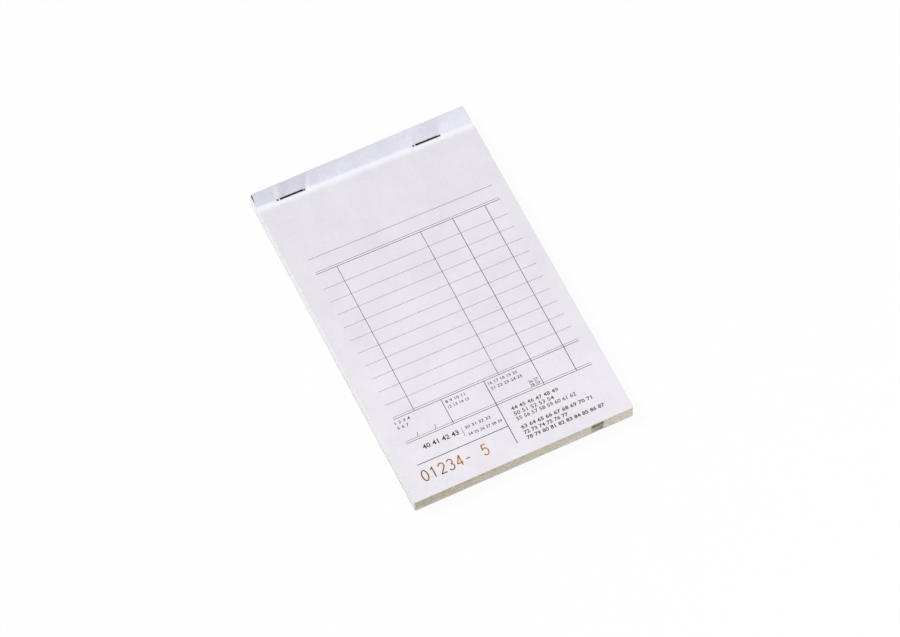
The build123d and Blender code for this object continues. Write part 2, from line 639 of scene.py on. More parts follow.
@dataclass(frozen=True)
class BoardFinish(Finish):
    """Recycled light grey board: short fibres, dark and pale flecks."""

    name: str = "grey_board"
    pale: Colour = (0.84, 0.825, 0.79)
    deep: Colour = (0.73, 0.715, 0.68)
    fleck: Colour = (0.30, 0.28, 0.24)
    bright: Colour = (0.90, 0.88, 0.84)
    pulp_size: float = 2.2 * MM
    fibre_size: float = 0.35 * MM
    fleck_size: float = 0.55 * MM
    speck_size: float = 0.6 * MM
    tooth_depth: float = 0.04 * MM

    def dress(self, graph: Graph) -> None:
        """Build the board's finish.

        Args:
            graph: Empty graph of the material.
        """
        pulp = graph.noise(self.pulp_size, 5.0)
        fibres = graph.noise(self.fibre_size, 3.0, (3.0, 1.0, 0.4))
        ground = graph.mix((pulp * 0.6 + fibres * 0.4).above(0.5, 0.4), self.pale, self.deep)
        flecks = graph.noise(self.fleck_size, 2.0, (2.0, 1.0, 0.6)).above(0.71, 0.04)
        flecked = graph.mix(flecks, ground, self.fleck)
        specks = graph.noise(self.speck_size, 2.0, (1.0, 1.9, 0.6)).above(0.69, 0.05)
        graph.surface(
            Base_Color=graph.mix(specks, flecked, self.bright),
            Roughness=fibres * 0.12 + 0.82,
            Specular_IOR_Level=0.15,
            Normal=graph.bump(pulp * 0.4 + fibres * 0.6, 0.5, self.tooth_depth),
        )


@dataclass(frozen=True)
class WireFinish(Finish):
    """Drawn stitching wire, dark with fine lines along it and rubbed brighter patches.

    A painted highlight lies on the crown's shoulders, where the wire bends, weaker at the right one.
    """

    middle: float
    # painted highlight on the crown's shoulders
    shoulder: float = 5.55 * MM
    bare_half: float = 0.27 * MM
    bare_soft: float = 0.16 * MM
    bare_shares: tuple[tuple[int, float], ...] = ((-1, 1.0), (1, 0.35))
    line_size: float = 0.05 * MM
    patch_size: float = 0.9 * MM
    dull: Colour = (0.018, 0.017, 0.021)
    rubbed: Colour = (0.06, 0.06, 0.068)
    bared: Colour = (0.80, 0.80, 0.82)

    def dress(self, graph: Graph) -> None:
        """Build the wire's finish.

        Args:
            graph: Empty graph of the material.
        """
        x, _, _ = graph.axes()
        lines = graph.noise(self.line_size, 2.0, (40.0, 1.0, 1.0))
        patches = graph.noise(self.patch_size, 3.0)
        wire = graph.mix((patches * 0.7 + lines * 0.3).above(0.56, 0.3), self.dull, self.rubbed)
        # painted highlights on the crown's shoulders
        bent = 0.0
        for side, share in self.bare_shares:
            beside = abs(x - (self.middle + side * self.shoulder))
            bent = bent + (1.0 - beside.above(self.bare_half, self.bare_soft)) * share
        graph.surface(
            Base_Color=graph.mix(bent, wire, self.bared),
            Metallic=1.0,
            Roughness=lines * 0.1 + patches * 0.1 + 0.15,
            Normal=graph.bump(lines, 0.25, 0.01 * MM),
        )


@dataclass(frozen=True)
class InkFinish(Finish):
    """Printing ink that covers the paper's tooth unevenly, and may fade towards the right."""

    full: Colour
    thin: Colour
    fade: float = 0.0
    fade_middle: float = -29 * MM
    gloss: float = 0.55
    tooth_size: float = 0.16 * MM
    drift_size: float = 11 * MM

    def dress(self, graph: Graph) -> None:
        """Build the ink's finish.

        Args:
            graph: Empty graph of the material.
        """
        tooth = graph.noise(self.tooth_size, 2.0)
        drift = graph.noise(self.drift_size, 2.0)
        x, _, _ = graph.axes()
        worn = tooth * 0.65 + drift * 0.35 + (x - self.fade_middle) * self.fade
        graph.surface(
            Base_Color=graph.mix(worn.above(0.52, 0.3), self.full, self.thin),
            Roughness=tooth * 0.2 + self.gloss,
            Specular_IOR_Level=0.2,
        )


@dataclass
class Finishes:
    """Materials of the pad, each made once."""

    faces: dict[Paper, bpy.types.Material]
    edges: dict[Paper, bpy.types.Material]
    stub: bpy.types.Material
    board: bpy.types.Material
    ink: bpy.types.Material
    number: bpy.types.Material

    @classmethod
    def make(cls) -> "Finishes":
        """Make every material of the pad.

        Returns:
            The materials.
        """
        white, cool = (0.86, 0.835, 0.905), (0.745, 0.725, 0.795)
        cream, buff = (0.86, 0.845, 0.825), (0.80, 0.785, 0.76)
        white_cut, cool_cut = (0.99, 0.985, 1.0), (0.86, 0.85, 0.89)
        cream_cut, buff_cut = (0.98, 0.975, 1.0), (0.86, 0.855, 0.89)
        return cls(
            faces={
                Paper.ORIGINAL: PaperFinish("original_paper", white, cool).material(),
                Paper.COPY: PaperFinish("copy_paper", cream, buff).material(),
            },
            edges={
                Paper.ORIGINAL: EdgeFinish("original_edges", white_cut, cool_cut).material(),
                Paper.COPY: EdgeFinish("copy_edges", cream_cut, buff_cut).material(),
            },
            stub=StubFinish("shaded_stub_paper", white, cool, dusty=0.0, cockle_depth=0.1 * MM).material(),
            board=BoardFinish().material(),
            ink=InkFinish("form_ink", (0.045, 0.04, 0.05), (0.14, 0.13, 0.15)).material(),
            number=InkFinish("number_ink", (0.29, 0.092, 0.004), (0.50, 0.20, 0.025), fade=12.0).material(),
        )


@dataclass(frozen=True)
class FoldLine:
    """Line on which the leaves turn, parallel to the row of staples."""

    point: Vector
    along: Vector
    across: Vector

    @classmethod
    def of_joint(cls, name: str) -> "FoldLine":
        """Read the line from a hinge of the frame.

        Args:
            name: The hinge's name.

        Returns:
            The line, with across pointing to the bound edge.
        """
        joint = next(entry for entry in frame["joints"] if entry["name"] == name)
        along = -Vector(joint["axis"]).normalized()
        return cls(Vector(joint["pos_m"]), along, Vector((0.0, 0.0, 1.0)).cross(along))

    def coordinates(self, x: float, y: float) -> tuple[float, float]:
        """Distances of a place along the line and across it, positive towards the bound edge."""
        offset = Vector((x, y, self.point.z)) - self.point
        return offset.dot(self.along), offset.dot(self.across)

    def y_at(self, x: float, across: float) -> float:
        """Y, at this x, of the parallel line that lies this far across."""
        return self.point.y + (x - self.point.x) * self.along.y / self.along.x + across / self.along.x

    def place(self, across: float) -> Vector:
        """Point that lies straight across from the line's own point."""
        return self.point + self.across * across


@dataclass(frozen=True)
class Lay:
    """How the sheets lie on the board: their levels, and how tightly the staples press them together.

    Slack is 1 where the stack is loose and 0 under the crowns of the staples.
    """

    fold: FoldLine
    board_top: float
    thickness: float
    loose_pitch: float
    pressed_pitch: float
    crowns: tuple[tuple[float, float], ...]
    crown_half: float
    bound_edge: float = CAD_BOX[1].y
    left_edge: float = CAD_BOX[0].x

    valley_slack: float = 0.3
    stub_slack: float = 0.9
    stub_round: float = 1.6
    crest_reach: float = 0.6 * MM
    crest_round: float = 1.6
    press_reach: float = 2.2 * MM
    wave_slack: float = 0.14
    wave_width: float = 19 * MM
    wave_length: float = 27 * MM
    wave_slant: float = 23 * MM
    wave_reach: float = 22 * MM
    creased_level: int = 96
    crease_slack: float = 0.08
    lifted_level: int = 90
    corner_lift: float = 0.1 * MM
    corner_sag: float = 0.3 * MM
    corner_shift: float = 0.8 * MM
    corner_width: float = 9 * MM
    corner_length: float = 7 * MM

    @classmethod
    def of_frame(cls) -> "Lay":
        """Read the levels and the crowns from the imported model.

        Returns:
            The lay of the sheets.
        """
        top_low, top_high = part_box("original_01_leaf")
        board_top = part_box("back_board")[1].z
        under_top = SHEETS - 1
        fold = FoldLine.of_joint("original_flip")
        crowns = []
        for node in Staple.NODES:
            low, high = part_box(node)
            crowns.append(fold.coordinates((low.x + high.x) / 2.0, (low.y + high.y) / 2.0))
        return cls(
            fold=fold,
            board_top=board_top,
            thickness=top_high.z - top_low.z,
            loose_pitch=(top_low.z - board_top) / under_top,
            pressed_pitch=(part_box("original_01_stub")[0].z - board_top) / under_top,
            crowns=tuple(crowns),
            crown_half=Staple.crown_length / 2.0,
        )

    @property
    def row(self) -> float:
        """Distance of the row of staples across from the fold."""
        return sum(across for _, across in self.crowns) / len(self.crowns)

    def pressed(self, along: float) -> float:
        """Share of a staple's pressure at a place along the row."""
        reach = min(abs(along - middle) - self.crown_half for middle, _ in self.crowns)
        return 1.0 - smooth(reach / self.press_reach)

    def waves(self, x: float, y: float, across: float) -> float:
        """Slack that the leaves lose in slow waves in front of the fold.

        Args:
            x: Place along the width.
            y: Place along the length.
            across: Distance across from the fold.

        Returns:
            The slack.
        """
        wave = math.sin(x / self.wave_width + 0.5) * math.sin(y / self.wave_length + 0.4)
        wave += 0.6 * math.sin((x + 0.7 * y) / self.wave_slant + 2.1)
        return self.wave_slack * (0.5 + wave / 3.2) * smooth(-across / self.wave_reach)

    def creases(self, along: float, across: float) -> float:
        """Slack of the creases that run back from the row of staples.

        Args:
            along: Distance along the fold.
            across: Distance across from it.

        Returns:
            The slack.
        """
        behind = across - self.row
        total = 0.0
        for crease in CREASES:
            down = crease.down(along, behind)
            fade = smooth(down * 6.0) * smooth(1.6 - 1.3 * down)
            total += crease.strength * fade * math.exp(-crease.beside(along, behind) ** 2)
        return self.crease_slack * total

    def slack(self, level: int, x: float, y: float) -> float:
        """Slack of the stack at a place.

        Args:
            level: Number of sheets under the sheet asked for.
            x: Place along the width.
            y: Place along the length.

        Returns:
            The slack, where only the upper sheets are wrinkled.
        """
        along, across = self.fold.coordinates(x, y)
        valley = self.valley_slack * (1.0 - self.pressed(along))
        wrinkle = self.creases(along, across) if level >= self.creased_level else 0.0
        if across < self.row:
            share = min(1.0, (self.row - across) / (self.row + self.crest_reach))
            rise = 1.0 - (1.0 - share) ** self.crest_round
            return valley + (1.0 - valley) * rise - self.waves(x, y, across) + wrinkle
        end = (self.bound_edge - self.fold.y_at(x, 0.0)) * self.fold.along.x
        share = min(1.0, (across - self.row) / (end - self.row))
        return valley + (self.stub_slack - valley) * share ** self.stub_round + wrinkle

    def corner(self, x: float, y: float) -> float:
        """Share of the opening at the left end of the bound edge.

        Args:
            x: Place along the width.
            y: Place along the length.

        Returns:
            The share, 1 at the corner itself.
        """
        from_side = 1.0 - (x - self.left_edge) / self.corner_width
        from_end = 1.0 - (self.bound_edge - y) / self.corner_length
        return smooth(from_side) * smooth(from_end)

    def underside(self, level: int, x: float, y: float) -> float:
        """Height of a sheet's underside.

        Args:
            level: Number of sheets under it.
            x: Place along the width.
            y: Place along the length.

        Returns:
            The height above the floor.
        """
        pitch = self.pressed_pitch + self.slack(level, x, y) * (self.loose_pitch - self.pressed_pitch)
        height = self.board_top + level * pitch
        corner = self.corner(x, y)
        if level >= self.lifted_level:
            return height + corner * self.corner_lift
        return height - corner * self.corner_sag * level / self.lifted_level

    def settled(self, level: int, x: float, y: float) -> Vector:
        """Place on a sheet's underside where a place on its flat blank comes to lie."""
        slipped = self.corner(x, y) * self.corner_shift if level >= self.lifted_level else 0.0
        return Vector((x + slipped, y, self.underside(level, x, y)))

    def face(self, level: int, x: float, y: float) -> float:
        """Height of a sheet's upper face at a place."""
        return self.underside(level, x, y) + self.thickness


def level_of(paper: Paper, number: int) -> int:
    """Number of sheets that lie under a sheet of this set, where set 1 is on top."""
    original = SHEETS - 2 * number + 1
    return original if paper is Paper.ORIGINAL else original - 1


@dataclass
class Blank:
    """Flat blank of a sheet, cut into faces between columns and rows.

    A row is named by its distance from the fold at mid width. Rows near the fold run parallel to it,
    and the outer rows turn little by little to the pad's square ends.
    """

    fold: FoldLine
    columns: Sequence[float]
    rows: Sequence[float]
    square_front: float = -6 * MM
    square_back: float = 8 * MM
    trim: float = 0.12 * MM

    def end_row(self, side: int) -> float:
        """Row at the bound end (1) or at the front end (-1)."""
        end_y = (CAD_BOX[1].y if side > 0 else CAD_BOX[0].y) - side * self.trim
        return end_y - self.fold.y_at(0.0, 0.0)

    def y_at(self, x: float, row: float) -> float:
        """Y of a row at this x.

        Args:
            x: Place along the width.
            row: The row.

        Returns:
            Its place along the length.
        """
        near = min(max(row, self.square_front), self.square_back)
        y = self.fold.y_at(x, near)
        if row == near:
            return y
        end = self.end_row(1 if row > near else -1)
        end_y = self.fold.y_at(0.0, 0.0) + end
        return y + (row - near) / (end - near) * (end_y - y)

    def build(self, removed: Callable[[float, float], bool]) -> bmesh.types.BMesh:
        """Cut the blank.

        Args:
            removed: Tells, from a face's middle x and row, whether it is cut out.

        Returns:
            The flat mesh, at height 0.
        """
        mesh = bmesh.new()
        across, down = len(self.columns) - 1, len(self.rows) - 1
        bmesh.ops.create_grid(mesh, x_segments=across, y_segments=down, size=1.0)
        cut_out = []
        for face in mesh.faces:
            middle = face.calc_center_median()
            column = int((middle.x + 1.0) / 2.0 * across)
            row = int((middle.y + 1.0) / 2.0 * down)
            x = (self.columns[column] + self.columns[column + 1]) / 2.0
            if removed(x, (self.rows[row] + self.rows[row + 1]) / 2.0):
                cut_out.append(face)
        for vert in mesh.verts:
            x = self.columns[round((vert.co.x + 1.0) / 2.0 * across)]
            row = self.rows[round((vert.co.y + 1.0) / 2.0 * down)]
            vert.co = (x, self.y_at(x, row), 0.0)
        bmesh.ops.delete(mesh, geom=cut_out, context="FACES")
        return mesh


@dataclass
class Sheets:
    """Cuts sheets, lays them on the stack and makes them pieces."""

    lay: Lay
    finishes: Finishes
    trim: float = 0.12 * MM
    corner_wear: float = 0.5 * MM
    worn_corner: float = 0.9 * MM
    leg_hole: tuple[float, float] = (0.7 * MM, 0.9 * MM)
    tie_pitch: float = 2.5 * MM
    tie_width: float = 0.7 * MM
    tie_count: int = 40
    clear: float = 0.12 * MM
    wrinkle_reach: float = 6 * MM
    wrinkle_step: float = 0.3 * MM
    slit_width: float = 0.03 * MM
    perforation: float = -2.0 * MM
    sharp_angle: float = math.radians(35)

    @property
    def sides(self) -> tuple[float, float]:
        """X of the two sides of a trimmed sheet."""
        return CAD_BOX[0].x + self.trim, CAD_BOX[1].x - self.trim

    def end_row(self, side: int) -> float:
        """Row at the bound end (1) or at the front end (-1)."""
        return Blank(self.lay.fold, (), (), trim=self.trim).end_row(side)

    def legs(self) -> list[float]:
        """X of the staple legs.

        Returns:
            The places, from left to right.
        """
        middles = [self.lay.fold.point.x + along for along, _ in self.lay.crowns]
        reach = self.lay.crown_half - Staple.wire_thickness / 2.0
        return [middle + side * reach for middle in middles for side in (-1, 1)]

    def hole_columns(self) -> list[float]:
        """X of the sides of the leg holes."""
        return [leg + side * self.leg_hole[0] / 2.0 for leg in self.legs() for side in (-1, 1)]

    def hole_rows(self) -> list[float]:
        """Rows of the front and back of the leg holes."""
        return [self.lay.row + side * self.leg_hole[1] / 2.0 for side in (-1, 1)]

    def ties(self) -> list[float]:
        """X of the ties of the perforation."""
        first = -(self.tie_count - 1) / 2.0 * self.tie_pitch
        return [first + i * self.tie_pitch for i in range(self.tie_count)]

    def fine_columns(self) -> list[float]:
        """Columns of a sheet that shows: on both sides of every tie and every leg hole.

        Returns:
            The columns, from left to right.
        """
        columns = [tie + side * self.tie_width / 2.0 for tie in self.ties() for side in (-1, 1)]
        holes = self.hole_columns()
        kept = [x for x in columns if min(abs(x - hole) for hole in holes) > self.clear]
        return sorted([*self.sides, *kept, *holes])

    def wrinkled_columns(self) -> list[float]:
        """Columns of a sheet whose stub shows, closer together round the ends of the crowns.

        Returns:
            The columns, from left to right.
        """
        columns = self.fine_columns()
        for leg in self.legs():
            for x in spread(leg - self.wrinkle_reach, leg + self.wrinkle_reach, self.wrinkle_step):
                if min(abs(x - column) for column in columns) > self.clear:
                    columns.append(x)
        return sorted(columns)

    def punched(self, x: float, row: float) -> bool:
        """Tell whether a face is in a leg hole."""
        beside = min(abs(x - leg) for leg in self.legs())
        return beside < self.leg_hole[0] / 2.0 and abs(row - self.lay.row) < self.leg_hole[1] / 2.0

    def slit(self, x: float, row: float) -> bool:
        """Tell whether a face is in a slit of the perforation."""
        beside = min(abs(x - tie) for tie in self.ties())
        return beside > self.tie_width / 2.0 and abs(row - self.perforation) < self.slit_width / 2.0

    def cut(self, columns: Sequence[float], rows: Sequence[float], slits: bool) -> bmesh.types.BMesh:
        """Cut a flat sheet with its holes, its slits and its worn corners.

        Args:
            columns: Columns of its faces.
            rows: Rows of its faces.
            slits: Whether it is perforated.

        Returns:
            The flat mesh.
        """
        blank = Blank(self.lay.fold, columns, sorted(rows), trim=self.trim)
        mesh = blank.build(lambda x, row: self.punched(x, row) or (slits and self.slit(x, row)))
        for side in (-1, 1):
            for end in (-1, 1):
                worn = side > 0 and end < 0
                self.round_corner(mesh, side, end, self.worn_corner if worn else self.corner_wear)
        return mesh

    def round_corner(self, mesh: bmesh.types.BMesh, side: int, end: int, radius: float) -> None:
        """Round one corner of a flat sheet, if the sheet reaches it.

        Args:
            mesh: The sheet.
            side: -1 for the left, 1 for the right.
            end: -1 for the front, 1 for the bound edge.
            radius: Radius of the corner.
        """
        x = self.sides[side > 0]
        y = (CAD_BOX[1].y if end > 0 else CAD_BOX[0].y) - end * self.trim
        for vert in mesh.verts:
            if (vert.co - Vector((x, y, 0.0))).length < self.trim / 2.0:
                rounded(mesh, [vert], radius, 4, "VERTICES")
                return

    def lay_down(self, mesh: bmesh.types.BMesh, verts: Sequence[bmesh.types.BMVert], level: int) -> None:
        """Bend a flat sheet to its place in the stack and give it its thickness.

        Args:
            mesh: The mesh that holds it.
            verts: The sheet's vertices.
            level: Number of sheets under it.
        """
        for vert in verts:
            vert.co = self.lay.settled(level, vert.co.x, vert.co.y)
        faces = list({face for vert in verts for face in vert.link_faces})
        grow(mesh, faces, (0.0, 0.0, self.lay.thickness))

    def piece(self, mesh: bmesh.types.BMesh, name: str, paper: Paper,
              face: Optional[bpy.types.Material] = None) -> bpy.types.Object:
        """Finish sheets as a piece, with one material on the faces and one on the cut edges.

        Args:
            mesh: The sheets, which are freed.
            name: The piece's name.
            paper: Kind of sheet.
            face: Material of its faces, if not the paper's own.

        Returns:
            The piece.
        """
        shade(mesh, self.sharp_angle)
        for side in mesh.faces:
            side.material_index = int(abs(side.normal.z) < 0.5)
        made = piece_of(mesh, name, face or self.finishes.faces[paper], self.finishes.edges[paper])
        paper.slot
        return made


@dataclass
class TopSheets:
    """The sheets that show: the first set, whose leaves turn and tear off, and the second set under it."""

    sheets: Sheets
    seam: float = 0.004 * MM
    stub_bend: float = 0.15 * MM
    bend: float = 0.8 * MM
    leaf_step: float = 2.6 * MM
    stub_step: float = 0.33 * MM

    def leaf_rows(self) -> list[float]:
        """Rows from the front end to the perforation.

        Returns:
            The rows, from the front on.
        """
        near = self.sheets.perforation - self.sheets.slit_width / 2.0
        leaf = spread(self.sheets.end_row(-1), near, self.leaf_step)
        return [*leaf, self.sheets.perforation - self.seam]

    def strip_rows(self) -> list[float]:
        """Rows from the perforation nearly to the fold, close together where the paper bends.

        Returns:
            The rows, from the front on.
        """
        near = self.sheets.perforation + self.sheets.slit_width / 2.0
        bent = spread(-self.bend, -self.stub_bend - self.seam, self.bend / 8.0)
        return [self.sheets.perforation + self.seam, near, *bent]

    def stub_rows(self) -> list[float]:
        """Rows from just in front of the fold, where the stub bends, to the bound edge.

        Returns:
            The rows, from the front on.
        """
        holes = self.sheets.hole_rows()
        return [
            *spread(self.seam - self.stub_bend, 0.0, self.stub_bend / 4.0),
            *spread(0.0, holes[0], self.stub_step)[1:-1],
            *holes,
            self.sheets.lay.row,
            *spread(holes[1], self.sheets.end_row(1), self.stub_step)[1:],
        ]

    def one(self, name: str, paper: Paper, number: int, rows: Sequence[float], slits: bool,
            face: Optional[bpy.types.Material] = None) -> bpy.types.Object:
        """Make one sheet, or part of one, as a piece.

        Args:
            name: The piece's name.
            paper: Kind of sheet.
            number: Its set.
            rows: Rows of its faces.
            slits: Whether it is perforated.
            face: Material of its faces, if not the paper's own.

        Returns:
            The piece.
        """
        stubbed = max(rows) > self.sheets.lay.row
        columns = self.sheets.wrinkled_columns() if stubbed else self.sheets.fine_columns()
        mesh = self.sheets.cut(columns, rows, slits)
        self.sheets.lay_down(mesh, mesh.verts[:], level_of(paper, number))
        return self.sheets.piece(mesh, name, paper, face)

    def build(self) -> None:
        """Make the sheets of the first two sets, and tie the first original's leaf and the second set to
        their bodies.
        """
        fold = self.sheets.lay.fold
        crease, lifted, turned = fold.place(0.0), fold.place(-self.stub_bend), fold.place(-self.bend)
        original, copy = Paper.ORIGINAL, Paper.COPY

        # the stub's material, with painted shade behind the row of staples
        shaded_stub_finish = self.sheets.finishes.stub
        stub = self.one("original_01_stub_paper", original, 1, self.stub_rows(), False, shaded_stub_finish)
        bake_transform(stub)
        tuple(crease)
        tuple(lifted)
        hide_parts("original_01_stub")

        strip = self.one("original_01_strip_paper", original, 1, self.strip_rows(), True)
        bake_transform(strip)
        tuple(lifted)
        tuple(turned)
        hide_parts("original_01_hinge_strip")

        leaf = self.one("original_01_leaf_paper", original, 1, self.leaf_rows(), True)
        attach(leaf, "original_leaf")
        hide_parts("original_01_leaf")

        whole = [*self.leaf_rows(), *self.strip_rows(), *self.stub_rows()]
        first_copy = self.one("copy_01_paper", copy, 1, whole, False)
        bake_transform(first_copy)
        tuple(crease)
        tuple(turned)
        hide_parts("copy_01_stub", "copy_01_leaf")

        for paper in (original, copy):
            name = f"{paper.value}_02"
            second = self.one(f"{name}_paper", paper, 2, whole, paper is original)
            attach(second, "pad")
            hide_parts(name)


@dataclass
class Stack:
    """The sets under the first two, in blocks of separate sheets that lie a little out of line."""

    sheets: Sheets
    first_set: int = 3
    sets_per_block: int = 8
    sets_per_node: int = 2
    seed: int = 11
    usual_slip: float = 0.012 * MM
    stray_slip: float = 0.045 * MM
    stray_share: float = 0.06
    most_slip: float = 0.085 * MM
    most_turn: float = math.radians(0.008)
    stub_rows: tuple[float, ...] = (-14 * MM, -4 * MM, 0.0, 0.9 * MM, 1.8 * MM, 2.6 * MM, 5.4 * MM, 7.6 * MM)
    corner_columns: tuple[float, ...] = (2 * MM, 4.5 * MM, 8 * MM)
    middle_columns: tuple[float, ...] = (-15 * MM, -3 * MM, 9 * MM, 43 * MM)
    leaf_step: float = 22 * MM

    def template(self) -> bmesh.types.BMesh:
        """Cut the flat sheet that all blocks repeat.

        Returns:
            The flat mesh.
        """
        left, right = self.sheets.sides
        corner = [left + reach for reach in self.corner_columns]
        columns = sorted([left, *corner, *self.sheets.hole_columns(), *self.middle_columns, right])
        back = self.sheets.end_row(1)
        leaf = spread(self.sheets.end_row(-1), self.stub_rows[0], self.leaf_step)[:-1]
        end = [(back + self.stub_rows[-1]) / 2.0, back]
        rows = [*leaf, *self.stub_rows, *self.sheets.hole_rows(), self.sheets.lay.row, *end]
        return self.sheets.cut(columns, rows, False)

    def slips(self) -> Iterator[Matrix]:
        """Small turns and slips, one for each sheet, most of them slight and a few larger.

        Returns:
            The movements, without end.
        """
        chance = random.Random(self.seed)
        while True:
            size = self.stray_slip if chance.random() < self.stray_share else self.usual_slip
            slip = [min(max(chance.gauss(0.0, size), -self.most_slip), self.most_slip) for _ in range(2)]
            turn = chance.uniform(-self.most_turn, self.most_turn)
            yield Matrix.Translation((*slip, 0.0)) @ Matrix.Rotation(turn, 4, "Z")

    def build(self) -> None:
        """Make every block and let it stand for its nodes."""
        template = self.template()
        flat = bpy.data.meshes.new("flat_sheet")
        template.to_mesh(flat)
        template.free()
        slips = self.slips()
        for first in range(self.first_set, SETS + 1, self.sets_per_block):
            last = min(first + self.sets_per_block - 1, SETS)
            for paper, plural in ((Paper.ORIGINAL, "originals"), (Paper.COPY, "copies")):
                mesh = bmesh.new()
                for number in range(first, last + 1):
                    known = len(mesh.verts)
                    mesh.from_mesh(flat)
                    mesh.verts.ensure_lookup_table()
                    added = mesh.verts[known:]
                    bmesh.ops.transform(mesh, matrix=next(slips), verts=added)
                    self.sheets.lay_down(mesh, added, level_of(paper, number))
                block = self.sheets.piece(mesh, f"{plural}_{first:02d}_to_{last:02d}_paper", paper)
                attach(block, "pad")
                starts = range(first, last + 1, self.sets_per_node)
                ends = [min(start + self.sets_per_node - 1, SETS) for start in starts]
                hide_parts(*(f"{plural}_{a:02d}_to_{b:02d}" for a, b in zip(starts, ends)))
        bpy.data.meshes.remove(flat)


@dataclass
class Staple:
    """Staple of flat wire with rounded edges: crown, two legs and the ends clinched under the board."""

    NODES = ("staple_left", "staple_right")

    node: str
    wire_width: float = 0.7 * MM
    wire_thickness: float = 0.5 * MM
    edge_round: float = 0.13 * MM
    crown_length: float = 12.8 * MM
    clinch_length: float = 3.57 * MM
    bend: float = 0.35 * MM
    bend_steps: int = 8
    round_steps: int = 3
    sharp_angle: float = math.radians(40)

    def heights(self) -> tuple[float, float]:
        """Heights of the wire's middle in the clinch and in the crown."""
        low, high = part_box(self.node)
        return low.z + self.wire_thickness / 2.0, high.z - self.wire_thickness / 2.0

    def section(self, mesh: bmesh.types.BMesh, height: float) -> list:
        """Make the wire's section at the middle of the crown.

        Args:
            mesh: The mesh to add it to.
            height: Height of the crown's middle.

        Returns:
            The section's face, in a list.
        """
        bmesh.ops.create_grid(mesh, x_segments=1, y_segments=1, size=0.5)
        bmesh.ops.scale(mesh, vec=(self.wire_thickness, self.wire_width, 1.0), verts=mesh.verts)
        rounded(mesh, mesh.verts[:], self.edge_round, self.round_steps, "VERTICES")
        upright = Matrix.Translation((0.0, 0.0, height)) @ Matrix.Rotation(math.pi / 2.0, 4, "Y")
        bmesh.ops.transform(mesh, matrix=upright, verts=mesh.verts)
        return mesh.faces[:]

    def turn(self, mesh: bmesh.types.BMesh, end: list, centre: Vector) -> list:
        """Bend the wire a quarter turn downwards or inwards about a centre.

        Args:
            mesh: The wire.
            end: The face at its end, in a list.
            centre: Centre of the bend.

        Returns:
            The face at the new end, in a list.
        """
        made = bmesh.ops.spin(
            mesh, geom=end, cent=centre, axis=(0.0, 1.0, 0.0), angle=math.pi / 2.0, steps=self.bend_steps,
            use_merge=False,
        )
        return [item for item in made["geom_last"] if isinstance(item, bmesh.types.BMFace)]

    def clear_inside(self, mesh: bmesh.types.BMesh, bend_start: float) -> None:
        """Take out the faces left inside the wire: at the mirror plane and past the start of the bends.

        Args:
            mesh: One half of the wire.
            bend_start: X past which the bends lie.
        """
        inside = []
        for face in mesh.faces:
            at_mirror = max(abs(vert.co.x) for vert in face.verts) < 0.01 * MM
            section = len(face.verts) > 4 and face.calc_center_median().x > bend_start
            if at_mirror or section:
                inside.append(face)
        bmesh.ops.delete(mesh, geom=inside, context="FACES")

    def build(self) -> None:
        """Make the staple from one half of its wire and the mirrored other half."""
        bottom, top = self.heights()
        leg = (self.crown_length - self.wire_thickness) / 2.0
        mesh = bmesh.new()
        start = self.section(mesh, top)
        end = grow(mesh, start, (leg - self.bend, 0.0, 0.0))
        end = self.turn(mesh, end, Vector((leg - self.bend, 0.0, top - self.bend)))
        end = grow(mesh, end, (0.0, 0.0, bottom - top + 2.0 * self.bend))
        end = self.turn(mesh, end, Vector((leg - self.bend, 0.0, bottom + self.bend)))
        grow(mesh, end, (self.bend - self.clinch_length, 0.0, 0.0))
        self.clear_inside(mesh, leg - 2.0 * self.bend)
        half = mesh.verts[:] + mesh.edges[:] + mesh.faces[:]
        bmesh.ops.mirror(mesh, geom=half, axis="X", merge_dist=MERGE)
        bmesh.ops.remove_doubles(mesh, verts=mesh.verts[:], dist=MERGE)
        shade(mesh, self.sharp_angle)
        self.seat(mesh)
        low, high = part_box(self.node)
        finish = WireFinish(f"{self.node}_wire", (low.x + high.x) / 2.0)
        made = piece_of(mesh, f"{self.node}_wire", finish.material())
        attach(made, "pad")
        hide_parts(self.node)

    def seat(self, mesh: bmesh.types.BMesh) -> None:
        """Turn the staple along its row and set it on its place.

        Args:
            mesh: The wire, upright at the origin.
        """
        low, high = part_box(self.node)
        along = FoldLine.of_joint("original_flip").along
        turned = Matrix.Rotation(math.atan2(along.y, along.x), 4, "Z")
        place = Matrix.Translation(((low.x + high.x) / 2.0, (low.y + high.y) / 2.0, 0.0))
        bmesh.ops.transform(mesh, matrix=place @ turned, verts=mesh.verts)


